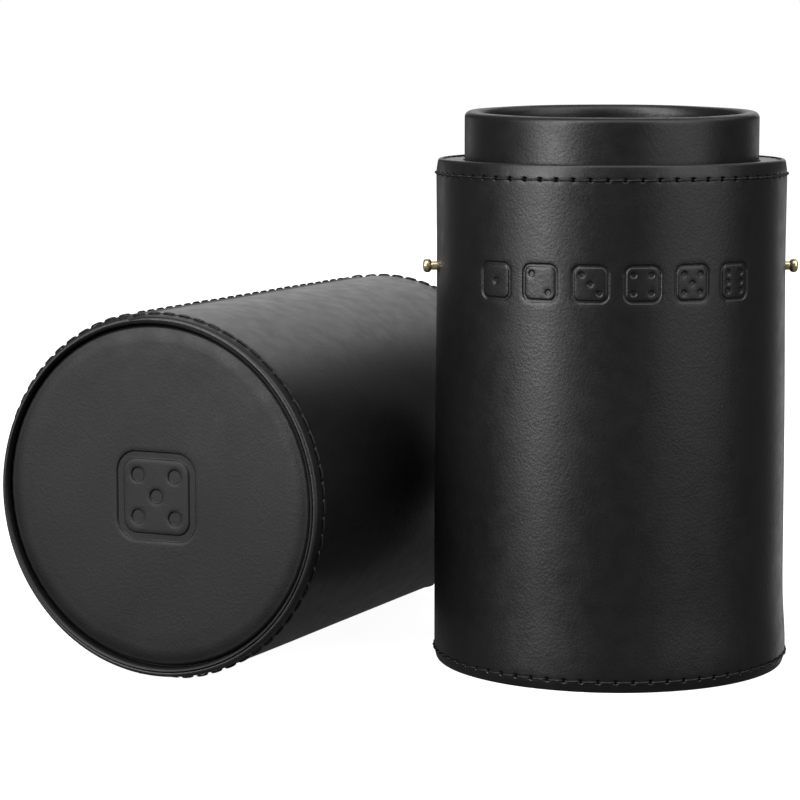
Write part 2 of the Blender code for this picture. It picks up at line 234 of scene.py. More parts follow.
CUP_RADIUS = size_of("cup_outer_leather").x / 2.0
CUP_HEIGHT = size_of("cup_outer_leather").z
RIM_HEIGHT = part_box("collar_leather")[1].z / MM
COLLAR_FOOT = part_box("collar_leather")[0].z / MM
COLLAR_RADIUS = size_of("collar_leather").x / 2.0
CUP_FIT_RADIUS = size_of("cup_base_leather").x / 2.0
BORE_RADIUS = size_of("cup_lining").x / 2.0 - LINING_THICKNESS
CUP_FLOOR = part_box("cup_floor_lining")[0].z / MM
STUD_HEIGHT = (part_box("stud_left")[0].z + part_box("stud_left")[1].z) / 2.0 / MM
STUD_REACH = (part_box("stud_right")[1].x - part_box("cup_outer_leather")[1].x) / MM
STUD_HEAD_RADIUS = size_of("stud_left").z / 2.0
LID_RADIUS = size_of("lid_outer_leather").z / 2.0
LID_FIT_RADIUS = size_of("lid_end_leather").z / 2.0
LID_BORE_RADIUS = size_of("lid_lining").z / 2.0 - LINING_THICKNESS
LID_END = mount("lid_closed_end")
LID_MOUTH = mount("lid_mouth")
LID_LENGTH = (Vector(LID_MOUTH["pos_m"]) - Vector(LID_END["pos_m"])).length / MM


def cup_place():
    low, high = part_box("cup_outer_leather")
    centre = (low + high) / 2.0
    return Matrix.Translation((centre.x, centre.y, 0.0))


def lid_place():
    along = -Vector(LID_END["axis"])
    side = UP.cross(along)
    turn = Matrix((side, UP, along)).transposed().to_4x4()
    return Matrix.Translation((LID_END["pos_m"][0], LID_END["pos_m"][1], LID_RADIUS * MM)) @ turn


PLACES = {"cup": cup_place(), "lid": lid_place()}


# ------------------------------ profiles and shapes


def arc(centre, radius, start, end, across=None):
    """Points on a round stretch of a profile. across is its radius upwards, where it is an ellipse."""
    across = radius if across is None else across
    steps = max(3, ceil(abs(end - start) * max(radius, across) / ARC_STEP))
    angles = [start + (end - start) * step / steps for step in range(steps + 1)]
    return [(centre[0] + radius * cos(a), centre[1] + across * sin(a)) for a in angles]


def filled(profile, longest, closed=True):
    """The profile with points added, so that no step is longer than the longest."""
    ends = profile[1:] + profile[:1] if closed else profile[1:]
    points = []
    for (r0, z0), (r1, z1) in zip(profile, ends):
        count = max(1, ceil(hypot(r1 - r0, z1 - z0) / longest))
        points += [(r0 + (r1 - r0) * k / count, z0 + (z1 - z0) * k / count) for k in range(count)]
    return points if closed else points + [profile[-1]]


def rounded_ring(inner, outer, low, high, edge, inner_edge):
    """The closed profile of a thin ring. edge rounds its outer corners, and inner_edge its inner ones."""
    points = arc((outer - edge, low + edge), edge, -pi / 2.0, 0.0)
    points += arc((outer - edge, high - edge), edge, 0.0, pi / 2.0)
    points += arc((inner + inner_edge, high - inner_edge), inner_edge, pi / 2.0, pi)
    points += arc((inner + inner_edge, low + inner_edge), inner_edge, pi, 1.5 * pi)
    return points


def smooth(share):
    """The share, held from 0 to 1, with a soft start and a soft end."""
    share = np.clip(share, 0.0, 1.0)
    return share * share * (3.0 - 2.0 * share)


def rise(value, start, end):
    """0 before the start, 1 past the end, and a smooth step between them. The end may be the lower."""
    return smooth((value - start) / (end - start))


def bump_at(distance, width):
    """1 at no distance, fading evenly to both sides over about the width."""
    return np.exp(-((distance / width) ** 2))


def centred(value, period):
    """The value less the nearest whole number of periods."""
    return (value + period / 2.0) % period - period / 2.0


def wrapped(angle):
    """The angle, from half a turn back to half a turn on."""
    return centred(angle, 2.0 * pi)


def plan(radius, angle):
    """Points' places seen along the axis."""
    return radius * np.cos(angle), radius * np.sin(angle)


def die_distance(x, y, size, spots):
    """How far points are outside the pressed lines and pips of a die face; negative on them."""
    half_stroke = size * FACE_STROKE / 2.0
    corner = size * FACE_CORNER
    flat = size / 2.0 - half_stroke - corner
    beside, above = np.abs(x) - flat, np.abs(y) - flat
    outside = np.hypot(np.maximum(beside, 0.0), np.maximum(above, 0.0))
    edge = outside + np.minimum(np.maximum(beside, above), 0.0) - corner
    distance = np.abs(edge) - half_stroke
    spacing = size * PIP_SPACING
    for spot_x, spot_y in PIPS[spots]:
        pip = np.hypot(x - spot_x * spacing, y - spot_y * spacing) - size * PIP_RADIUS
        distance = np.minimum(distance, pip)
    return distance


def pressed(distance, depth):
    """How deep a pressed mark is: a flat floor, a short wall, and leather drawn down a little round it."""
    wall = smooth(0.5 - distance / PRESS_EDGE)
    drawn = PRESS_DRAW * bump_at(np.maximum(distance, 0.0), PRESS_REACH)
    return depth * np.maximum(wall, drawn)


def mark_cell(distance, margin, reach, elsewhere):
    """The cell size wanted near a pressed mark: finest on its walls, and fine within a margin of it."""
    wall = np.abs(distance) < PRESS_EDGE / 2.0 + 0.04 + reach
    near = np.abs(distance) < margin + reach
    return np.where(wall, FINEST_CELL, np.where(near, 3.0 * FINEST_CELL, elsewhere))


def stitch_dent(along, across, pitch):
    """The dent that a row of stitches makes: a shallow bed, and a hole where each stitch goes in."""
    to_hole = centred(along, pitch)
    hole = HOLE_DEPTH * smooth(1.25 - np.hypot(to_hole / HOLE_HALF_LENGTH, across / HOLE_HALF_WIDTH))
    drawn = DRAWN_DEPTH * bump_at(np.hypot(to_hole, across), DRAWN_REACH)
    bed = BED_DEPTH * bump_at(across, BED_HALF_WIDTH)
    return np.maximum(hole, bed) + drawn


def stitch_cell(along, across, pitch, reach):
    """The cell size wanted near a row of stitches."""
    near_hole = (np.abs(centred(along, pitch)) < 0.75 + reach) & (np.abs(across) < 0.6 + reach)
    near_bed = np.abs(across) < 0.9 + reach
    return np.where(near_hole, FINEST_CELL, np.where(near_bed, 4.0 * FINEST_CELL, BASE_CELL))


# ------------------------------ meshes


def split_cells(columns, rows, levels, too_big):
    """Cells of a grid as (column, row, size) in the finest cell's units, halved while they are too big."""
    size = 2**levels
    column, row = np.meshgrid(np.arange(columns) * size, np.arange(rows) * size, indexing="ij")
    cells = np.column_stack([column.ravel(), row.ravel()])
    done = []
    while size > 1:
        split = too_big(cells, size)
        done.append(np.column_stack([cells[~split], np.full((~split).sum(), size)]))
        size //= 2
        corners = np.array([(0, 0), (size, 0), (0, size), (size, size)])
        cells = (cells[split][:, None, :] + corners).reshape(-1, 2)
    done.append(np.column_stack([cells, np.full(len(cells), size)]))
    return np.concatenate(done)


def edge_keys(start, end, key_at, known):
    """The points on a cell's edge, from its start up to its end, with those of any smaller neighbours."""
    middle = ((start[0] + end[0]) // 2, (start[1] + end[1]) // 2)
    if middle in (start, end) or key_at(*middle) not in known:
        return [key_at(*start)]
    return edge_keys(start, middle, key_at, known) + edge_keys(middle, end, key_at, known)


def turned(name, body, profile, closed=True, levels=0, cell=None, shape=None, columns=None, worn_and_highlit=None):
    """A closed surface turned from a profile of (radius, height) points.

    A closed profile makes a ring, and an open one has both ends on the axis. cell(radius, angle, height,
    reach) gives the size of cell wanted near points, shape(radius, angle, height) returns where they finally
    are, and the last function, of (radius, angle, height), says how much of an edge they are, from 0 to 1,
    which paints them paler: scuffing, and a painted highlight along the edges.
    """
    points = np.array(profile)
    widest = points[:, 0].max()
    columns = columns or 4 * ceil(2.0 * pi * widest / BASE_CELL / 4.0)
    line = points if closed else points[1:-1]
    rows = len(line) if closed else len(line) - 1
    around, up_to = columns * 2**levels, rows * 2**levels
    stations = np.vstack([line, line[:1]]) if closed else line

    def surface(column, row):
        place = row / 2**levels
        radius = np.interp(place, np.arange(len(stations)), stations[:, 0])
        height = np.interp(place, np.arange(len(stations)), stations[:, 1])
        return radius, 2.0 * pi * column / around, height

    def too_big(cells, size):
        low_r, _, low_z = surface(cells[:, 0], cells[:, 1])
        high_r, _, high_z = surface(cells[:, 0], cells[:, 1] + size)
        radius, angle, height = surface(cells[:, 0] + size / 2.0, cells[:, 1] + size / 2.0)
        width = 2.0 * pi * radius * size / around
        tall = np.hypot(high_r - low_r, high_z - low_z)
        reach = np.hypot(width, tall) / 2.0
        return np.maximum(width, tall) > cell(radius, angle, height, reach)

    cells = split_cells(columns, rows, levels, too_big)

    def key_at(column, row):
        return (column % around) * (up_to + 1) + (row % up_to if closed else row)

    corners = [key_at(c + i * s, r + j * s) for c, r, s in cells.tolist() for i in (0, 1) for j in (0, 1)]
    known = set(corners)
    keys = np.array(sorted(known))
    index = {key: k for k, key in enumerate(keys.tolist())}
    faces = []
    for c, r, s in cells.tolist():
        ring = [(c, r), (c + s, r), (c + s, r + s), (c, r + s)]
        face = []
        for start, end in zip(ring, ring[1:] + ring[:1]):
            face += edge_keys(start, end, key_at, known)
        faces.append([index[key] for key in face])

    column, row = keys // (up_to + 1), keys % (up_to + 1)
    radius, angle, height = surface(column, row)
    # How much each point is painted paler: scuffing, and a painted highlight along the edges.
    wear_and_highlight = worn_and_highlit(radius, angle, height) if worn_and_highlit else np.zeros(len(radius))
    if shape:
        radius, angle, height = shape(radius, angle, height)
    vertices = np.column_stack([*plan(radius, angle), height])
    if not closed:
        for pole, edge_row in ((points[0], 0), (points[-1], up_to)):
            rim = np.flatnonzero(row == edge_row)
            rim = rim[np.argsort(column[rim])].tolist()
            height_there = vertices[rim, 2].mean()
            vertices = np.vstack([vertices, (0.0, 0.0, height_there)])
            wear_and_highlight = np.append(wear_and_highlight, 0.0)
            for first, second in zip(rim, rim[1:] + rim[:1]):
                pair = [second, first] if edge_row == 0 else [first, second]
                faces.append([len(vertices) - 1, *pair])
    return make_object(name, body, vertices, faces, wear_and_highlight)


def make_object(name, body, vertices, faces, wear_and_highlight=None):
    """A smooth-shaded mesh in its body's own frame, with its faces pointing out."""
    mesh = bpy.data.meshes.new(name)
    mesh.from_pydata(vertices * MM, [], faces)
    mesh.calc_loop_triangles()
    corners = np.empty(3 * len(mesh.loop_triangles), int)
    mesh.loop_triangles.foreach_get("vertices", corners)
    first, second, third = (vertices[corners[k::3]] for k in range(3))
    if np.einsum("ij,ij->", first, np.cross(second, third)) < 0.0:
        mesh.flip_normals()
    mesh.shade_smooth()
    # The share of paler edge colour per point: scuffing, and a painted highlight along the rims.
    if wear_and_highlight is not None:
        attribute = mesh.attributes.new("wear_and_highlight", "FLOAT", "POINT")
        attribute.data.foreach_set("value", wear_and_highlight.astype(np.float32))
    obj = bpy.data.objects.new(name, mesh)
    bpy.context.scene.collection.objects.link(obj)
    obj.matrix_world = PLACES[body]
    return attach(obj, body)


def finish_piece(obj, slot, material, cad_node):
    obj.data.materials.append(material)
    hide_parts(cad_node)


# ------------------------------ materials


def new_material(name):
    """A material, its node tree, its shader, and the object coordinates that its textures use."""
    material = bpy.data.materials.new(name)
    material.use_nodes = True
    tree = material.node_tree
    place = tree.nodes.new("ShaderNodeTexCoord").outputs["Object"]
    return material, tree, tree.nodes["Principled BSDF"], place


def node(tree, kind, **inputs):
    made = tree.nodes.new(kind)
    for key, value in inputs.items():
        made.inputs[key.replace("_", " ")].default_value = value
    return made


def noise(tree, coordinates, scale, detail=3.0, roughness=0.5):
    made = node(tree, "ShaderNodeTexNoise", Scale=scale, Detail=detail, Roughness=roughness)
    tree.links.new(coordinates, made.inputs["Vector"])
    return made.outputs["Fac"]


def ramp(tree, value, low, high, start=0.0, end=1.0):
    """value, from start to end, mapped to the span from low to high."""
    made = node(tree, "ShaderNodeMapRange", From_Min=start, From_Max=end, To_Min=low, To_Max=high)
    tree.links.new(value, made.inputs["Value"])
    return made.outputs["Result"]


def mix_colours(tree, factor, low, high):
    """A mix of two colours, each either three numbers or another node's output."""
    made = tree.nodes.new("ShaderNodeMix")
    made.data_type = "RGBA"
    tree.links.new(factor, made.inputs[0])
    for socket, colour in ((made.inputs[6], low), (made.inputs[7], high)):
        if isinstance(colour, tuple):
            socket.default_value = (*colour, 1.0)
        else:
            tree.links.new(colour, socket)
    return made.outputs[2]


def grey(value):
    return (value, value, value)


def math_node(tree, operation, first, second):
    made = tree.nodes.new("ShaderNodeMath")
    made.operation = operation
    tree.links.new(first, made.inputs[0])
    tree.links.new(second, made.inputs[1])
    return made.outputs[0]


def bump(tree, height, distance, strength=1.0, below=None):
    made = node(tree, "ShaderNodeBump", Strength=strength, Distance=distance)
    tree.links.new(height, made.inputs["Height"])
    if below is not None:
        tree.links.new(below, made.inputs["Normal"])
    return made.outputs["Normal"]


def paint(tree, shader, colour, roughness, normal):
    """Link what varies over the material to its shader."""
    tree.links.new(colour, shader.inputs["Base Color"])
    tree.links.new(roughness, shader.inputs["Roughness"])
    tree.links.new(normal, shader.inputs["Normal"])


def leather(name, lightness, roughness, specular, grain):
    """Black leather: a fine pebbled grain with pores, uneven gloss, and edges painted a little paler, as
    scuffing and as a painted highlight.
    """
    material, tree, shader, place = new_material(name)
    pebbles = node(tree, "ShaderNodeTexVoronoi", Scale=1700.0)
    pebbles.feature = "SMOOTH_F1"
    pebbles.inputs["Smoothness"].default_value = 0.6
    tree.links.new(place, pebbles.inputs["Vector"])
    fine = bump(tree, pebbles.outputs["Distance"], 0.00003 * grain, 0.6)
    soft = bump(tree, noise(tree, place, 900.0, 4.0), 0.00003 * grain, 0.5, fine)
    broad = bump(tree, noise(tree, place, 60.0, 2.0), 0.00005 * grain, 0.3, soft)

    # Edges painted paler from a vertex attribute: partly scuffing, partly a painted highlight where the rims
    # catch the light.
    wear_and_highlight = node(tree, "ShaderNodeAttribute")
    wear_and_highlight.attribute_name = "wear_and_highlight"
    patches = noise(tree, place, 70.0, 4.0)
    rubbed_and_highlit = math_node(tree, "MULTIPLY", wear_and_highlight.outputs["Fac"], ramp(tree, patches, 0.2, 1.0, 0.35, 0.65))
    cloud = ramp(tree, patches, 0.0, 1.0, 0.3, 0.7)
    base = mix_colours(tree, cloud, grey(0.8 * lightness), grey(lightness))
    # Edges painted up to 2.6 times paler: scuffs, and a painted highlight along the rims.
    colour = mix_colours(tree, rubbed_and_highlit, base, grey(2.6 * lightness))

    gloss = ramp(tree, noise(tree, place, 240.0, 5.0, 0.6), roughness - 0.05, roughness + 0.05, 0.3, 0.7)
    paint(tree, shader, colour, math_node(tree, "ADD", gloss, ramp(tree, rubbed_and_highlit, 0.0, 0.1)), broad)
    shader.inputs["Specular IOR Level"].default_value = specular
    return material


def thread_material():
    """Thread with a fine fuzz of fibres."""
    material, tree, shader, place = new_material("black_thread")
    fibre = noise(tree, place, 5200.0, 3.0)
    colour = mix_colours(tree, fibre, grey(0.006), grey(0.013))
    paint(tree, shader, colour, ramp(tree, fibre, 0.5, 0.65), bump(tree, fibre, 0.00004, 0.6))
    shader.inputs["Specular IOR Level"].default_value = 0.4
    return material


def lining_material():
    """Short matt pile."""
    material, tree, shader, place = new_material("black_lining")
    pile = noise(tree, place, 2600.0, 2.0)
    nap = noise(tree, place, 90.0, 3.0)
    colour = mix_colours(tree, nap, (0.007, 0.007, 0.008), (0.017, 0.017, 0.018))
    normal = bump(tree, pile, 0.00012, 0.9, bump(tree, nap, 0.0004, 0.5))
    paint(tree, shader, colour, ramp(tree, pile, 0.82, 0.98), normal)
    shader.inputs["Sheen Weight"].default_value = 0.25
    shader.inputs["Sheen Roughness"].default_value = 0.4
    return material


def brass_material():
    """Polished pale brass, very slightly clouded."""
    material, tree, shader, place = new_material("pale_brass")
    cloud = noise(tree, place, 900.0, 4.0)
    colour = mix_colours(tree, cloud, (0.95, 0.80, 0.45), (0.98, 0.88, 0.60))
    normal = bump(tree, noise(tree, place, 2500.0), 0.00002, 0.3)
    paint(tree, shader, colour, ramp(tree, cloud, 0.2, 0.32), normal)
    shader.inputs["Metallic"].default_value = 0.9
    return material


def board_material():
    """Grey board: short fibres and flecks."""
    material, tree, shader, place = new_material("grey_board")
    fibres = noise(tree, place, 1300.0, 5.0, 0.7)
    colour = mix_colours(tree, fibres, (0.25, 0.205, 0.15), (0.42, 0.35, 0.27))
    paint(tree, shader, colour, ramp(tree, fibres, 0.8, 0.95), bump(tree, fibres, 0.00008, 0.6))
    return material


def foam_material():
    """Grey foam with small open cells."""
    material, tree, shader, place = new_material("grey_foam")
    cells = node(tree, "ShaderNodeTexVoronoi", Scale=1400.0)
    tree.links.new(place, cells.inputs["Vector"])
    hollow = cells.outputs["Distance"]
    colour = mix_colours(tree, hollow, (0.12, 0.12, 0.125), (0.3, 0.3, 0.31))
    paint(tree, shader, colour, ramp(tree, hollow, 0.98, 0.85), bump(tree, hollow, 0.0002, 0.8))
    return material


# ------------------------------ sleeves, with their rows and seams


def tucked(height, low, high, length):
    """How far the sleeve is drawn in by the stitches, from each row (low and high) to the nearer edge."""
    return RIM_TUCK * np.maximum(rise(height, low, 0.0), rise(height, high, length))


def cup_form(angle, height):
    """The cup's slight waist, and its wider foot, which stands out most on one side."""
    foot = FOOT_FLARE * (1.0 + np.cos(angle)) * bump_at(height - FOOT_HEIGHT, FOOT_REACH)
    return foot - WAIST_DEPTH * bump_at(height - WAIST_HEIGHT, WAIST_REACH)


def lid_form(angle, height):
    """The closed end's rim is pulled in on one side."""
    beside = bump_at(wrapped(angle - PINCH_ANGLE), PINCH_SPREAD)
    return -PINCH_DEPTH * beside * rise(height, PINCH_HEIGHT, 0.0)


def undulation(angle, height):
    """The slight unevenness of hand-drawn leather over board."""
    return sum(size * np.sin(count * angle + height / step + phase) for size, count, step, phase in WAVES)


class Sleeve:
    """A stitched sleeve: its skin without the dents, and the dents of its two rows, its seam and its marks.

    rows are (height, stitches, phase), and seam is (angle, lowest height, pitch, stitches).
    """

    def __init__(self, radius, length, form, rows, seam, marks=None):
        self.radius, self.length, self.form = radius, length, form
        self.rows, self.seam, self.marks = rows, seam, marks

    def skin(self, angle, height):
        """The radius of the undented skin."""
        tuck = tucked(height, self.rows[0][0], self.rows[1][0], self.length)
        return self.radius + self.form(angle, height) + undulation(angle, height) - tuck

    def along_seam(self, angle, height):
        """How far points are along the seam, how far from its stitches, and how far to its side."""
        seam_angle, low, pitch, count = self.seam
        across = wrapped(angle - seam_angle) * self.radius
        outside = np.maximum(low - height, height - low - pitch * count)
        return height - low, np.hypot(across, np.maximum(outside - HOLE_HALF_LENGTH, 0.0)), across

    def row_places(self, angle, height):
        """For each row, how far points are along it and to its side, and its pitch."""
        for row_height, count, phase in self.rows:
            yield (angle - phase) * self.radius, height - row_height, 2.0 * pi * self.radius / count

    def lap(self, angle, softness):
        """The step beside the seam, where the sleeve's outer edge ends on the layer below it."""
        past = wrapped(angle - self.seam[0]) * self.radius - LAP_OFFSET
        return LAP_STEP * smooth(past / softness + 0.5) * np.exp(-np.maximum(past, 0.0) / LAP_FADE)

    def outer(self, radius):
        return radius > self.radius - SLEEVE_THICKNESS / 2.0

    def shape(self, radius, angle, height):
        dent = sum(stitch_dent(*place) for place in self.row_places(angle, height))
        along, far, _ = self.along_seam(angle, height)
        dent = dent + stitch_dent(along, far, self.seam[2])
        dent = dent + self.lap(angle, LAP_EDGE)
        if self.marks:
            dent = dent + self.marks.dent(angle, height)
        form = self.form(angle, height)
        inward = dent + self.radius + form - self.skin(angle, height)
        inward = inward * np.clip((radius - self.radius + SLEEVE_THICKNESS) / EDGE_ROUNDING, 0.0, 1.0)
        return radius + form - np.where(self.outer(radius), inward, 0.0), angle, height

    def cell(self, radius, angle, height, reach):
        along, far, across = self.along_seam(angle, height)
        wanted = stitch_cell(along, far, self.seam[2], reach)
        for place in self.row_places(angle, height):
            wanted = np.minimum(wanted, stitch_cell(*place, reach))
        wanted = np.where(np.abs(across - LAP_OFFSET) < 0.2 + reach, 2.0 * FINEST_CELL, wanted)
        if self.marks:
            wanted = np.minimum(wanted, self.marks.cell(angle, height, reach))
        return np.where(self.outer(radius), wanted, BASE_CELL * 4.0)

    def worn_and_highlit(self, radius, angle, height):
        # Paler near both ends of the sleeve: scuffing, and a painted highlight along the rims.
        to_edge = np.minimum(height, self.length - height)
        return rise(to_edge, np.where(self.outer(radius), 0.7, 0.3), 0.0)

    def build(self, name, body):
        inside = self.radius - SLEEVE_THICKNESS
        profile = rounded_ring(inside, self.radius, 0.0, self.length, EDGE_ROUNDING, INNER_ROUNDING)
        return turned(name, body, filled(profile, BASE_CELL), levels=FINE_LEVELS, cell=self.cell,
                      shape=self.shape, worn_and_highlit=self.worn_and_highlit)


class CupMarks:
    """Six small die faces, one to six, pressed in a row across the front of the cup."""

    @staticmethod
    def distance(angle, height):
        nearest = np.inf
        for spots in PIPS:
            centre = CUP_FACE_MIDDLE + (spots - 3.5) * CUP_FACE_SPACING
            x = wrapped(angle - centre) * CUP_RADIUS
            nearest = np.minimum(nearest, die_distance(x, height - CUP_FACE_HEIGHT, CUP_FACE_SIZE, spots))
        return nearest

    @classmethod
    def dent(cls, angle, height):
        return pressed(cls.distance(angle, height), CUP_PRESS_DEPTH)

    @classmethod
    def cell(cls, angle, height, reach):
        return mark_cell(cls.distance(angle, height), CUP_MARK_MARGIN, reach, BASE_CELL)


def seam_line(body, angle, length):
    """A seam as a Sleeve takes it, with whole stitches between its margins."""
    count = SEAM_STITCHES[body]
    return angle, SEAM_MARGIN, (length - 2.0 * SEAM_MARGIN) / count, count


# ------------------------------ thread


def thread_tube(path, side, closed, stitches, thickest):
    """A twisted thread swept along a path: its plies show as ridges that wind round it."""
    ahead = np.roll(path, -1, axis=0) - np.roll(path, 1, axis=0)
    if not closed:
        ahead[0] = path[1] - path[0]
        ahead[-1] = path[-1] - path[-2]
    ahead /= np.linalg.norm(ahead, axis=1, keepdims=True)
    side = side - ahead * np.einsum("ij,ij->i", side, ahead)[:, None]
    side /= np.linalg.norm(side, axis=1, keepdims=True)
    out = np.cross(side, ahead)
    count = len(path)
    spans = count if closed else count - 1
    twist = 2.0 * pi / PLIES * TWISTS * stitches * np.arange(count) / spans
    turn = np.arange(THREAD_SIDES) * 2.0 * pi / THREAD_SIDES
    ply = np.abs(np.cos(PLIES / 2.0 * (turn - twist[:, None])))
    radius = thickest * (1.0 - PLY_RIDGE + PLY_RIDGE * ply)
    around = np.cos(turn)[:, None] * out[:, None] + np.sin(turn)[:, None] * side[:, None]
    vertices = (path[:, None] + radius[..., None] * around).reshape(-1, 3)
    faces = []
    for k in range(spans):
        here, there = k * THREAD_SIDES, (k + 1) % count * THREAD_SIDES
        for j in range(THREAD_SIDES):
            after = (j + 1) % THREAD_SIDES
            faces.append([here + j, here + after, there + after, there + j])
    if not closed:
        faces.append(list(range(THREAD_SIDES))[::-1])
        faces.append([spans * THREAD_SIDES + j for j in range(THREAD_SIDES)])
    return vertices, faces


def stitch_heights(count, pitch, proud, gap):
    """Along each stitch: how far along it is, how high the thread's centre is, and how far to its side."""
    rng = np.random.default_rng(count)
    share = np.arange(THREAD_STEPS) / THREAD_STEPS
    share = share - 0.7 * np.sin(2.0 * pi * share) / (2.0 * pi)
    along = (np.arange(count)[:, None] + share).ravel() * pitch
    to_hole = centred(along, pitch)
    lift = np.repeat(proud + rng.uniform(-THREAD_UNEVENNESS, THREAD_UNEVENNESS, count), THREAD_STEPS)
    height = lift - (lift + THREAD_DIVE) * bump_at(to_hole, gap)
    slant = np.repeat(rng.uniform(*THREAD_SLANT, count), THREAD_STEPS)
    lean = np.tile(share - 0.5, count) * slant * (1.0 - bump_at(to_hole, 0.3))
    return along, height, lean


def ring_thread(name, body, sleeve, row, floor=None):
    """One endless thread round a sleeve. floor keeps it out of what the sleeve lies on."""
    height, count, phase = row
    along, proud, lean = stitch_heights(count, 2.0 * pi * sleeve.radius / count, THREAD_PROUD, THREAD_GAP)
    angle = phase + along / sleeve.radius
    reach = sleeve.skin(angle, np.full(len(angle), height)) - sleeve.lap(angle, THREAD_LAP_EDGE) + proud
    path = np.column_stack([*plan(reach, angle), height + lean])
    vertices, faces = thread_tube(path, np.tile(UP, (len(path), 1)), True, count, THREAD_RADIUS)
    if floor is not None:
        vertices[:, 1] = np.maximum(vertices[:, 1], floor)
    return make_object(name, body, vertices, faces)


def seam_thread(name, body, sleeve):
    """The straight row of stitches along a sleeve's seam."""
    angle, low, pitch, count = sleeve.seam
    along, proud, lean = stitch_heights(count, pitch, SEAM_PROUD, SEAM_GAP)
    along, proud, lean = (np.append(values, values[0]) for values in (along, proud, lean))
    along[-1] = pitch * count
    reach = sleeve.skin(np.full(len(along), angle), low + along) + proud
    out = np.array((cos(angle), sin(angle), 0.0))
    beside = np.array((-sin(angle), cos(angle), 0.0))
    path = reach[:, None] * out + lean[:, None] * beside
    path[:, 2] = low + along
    vertices, faces = thread_tube(path, np.tile(beside, (len(path), 1)), False, count, SEAM_THREAD_RADIUS)
    return make_object(name, body, vertices, faces)


def build_sewn_sleeve(body, sleeve, ends, paints, floor=None):
    """A sleeve with its three threads. ends name the low and the high row."""
    piece = sleeve.build(f"{body}_sleeve", body)
    finish_piece(piece, "leather", paints["leather"], f"{body}_outer_leather")
    for end, row in zip(ends, sleeve.rows):
        thread = ring_thread(f"{body}_{end}_thread", body, sleeve, row, floor)
        finish_piece(thread, "thread", paints["thread"], f"{body}_{end}_stitch")
    thread = seam_thread(f"{body}_seam_thread", body, sleeve)
    finish_piece(thread, "thread", paints["thread"], f"{body}_seam_stitch")


# ------------------------------ the cup


def build_cup(paints):
    count = RING_STITCHES["cup"]
    bottom_row = (STITCH_FROM_END, count, FRONT + BOTTOM_ROW_PHASE)
    top_row = (TOP_ROW_HEIGHT, count, FRONT + TOP_ROW_PHASE)
    seam = seam_line("cup", BACK, CUP_HEIGHT)
    sleeve = Sleeve(CUP_RADIUS, CUP_HEIGHT + EDGE_RISE, cup_form, (bottom_row, top_row), seam, CupMarks)
    build_sewn_sleeve("cup", sleeve, ("bottom", "top"), paints)

    lining_top = RIM_HEIGHT - HEM_DEPTH - FIT_GAP
    pieces = (
        (build_shoulder(), "leather", "shoulder_leather"),
        (build_collar(), "leather", "collar_leather"),
        (build_collar_core(), "board", "collar_tube"),
        (build_bore_lining("cup", BORE_RADIUS, CUP_FLOOR, lining_top), "lining", "cup_lining"),
        (build_floor_pad("cup", BORE_RADIUS - FIT_GAP, CUP_FLOOR), "lining", "cup_floor_lining"),
        (build_base_panel(), "leather", "cup_base_leather"),
        (build_stud("left", -1.0), "brass", "stud_left"),
        (build_stud("right", 1.0), "brass", "stud_right"),
    )
    for piece, slot, cad_node in pieces:
        finish_piece(piece, slot, paints[slot], cad_node)


def build_shoulder():
    """The flat ring round the collar, with the flange that the top stitches hold against the sleeve."""
    inner = COLLAR_RADIUS + FIT_GAP
    outer = CUP_FIT_RADIUS + SNUG["shoulder"]
    top = CUP_HEIGHT + EDGE_RISE - SHOULDER_SINK
    under = top - TRIM_THICKNESS
    edge = 0.4
    profile = [(inner, under), (outer - TRIM_THICKNESS, under)]
    profile += [(outer - TRIM_THICKNESS, CUP_HEIGHT - HEM_DEPTH), (outer, CUP_HEIGHT - HEM_DEPTH)]
    profile += arc((outer - edge, top - edge), edge, 0.0, pi / 2.0)
    profile += arc((inner + INNER_ROUNDING, top - INNER_ROUNDING), INNER_ROUNDING, pi / 2.0, pi)

    def shape(radius, angle, height):
        pucker = 0.04 * np.cos(RING_STITCHES["cup"] * (angle - FRONT))
        pucker = pucker * rise(radius, outer - 2.2, outer - 0.4)
        rolling = 0.03 * np.sin(4.0 * angle + 0.6) + 0.02 * np.sin(9.0 * angle)
        waist = cup_form(angle, height) * rise(radius, inner, outer)
        return radius + waist, angle, height - rise(height, under + 0.3, under + 0.8) * (pucker - rolling)

    def worn_and_highlit(radius, angle, height):
        # The outer top corner painted paler: scuffing, and a painted highlight along the sleeve's top edge.
        return rise(radius, outer - 0.6, outer - 0.1) * rise(height, top - 0.6, top - 0.1)

    columns = RING_STITCHES["cup"] * 8
    return turned("cup_shoulder", "cup", filled(profile, 0.6), shape=shape, worn_and_highlit=worn_and_highlit, columns=columns)


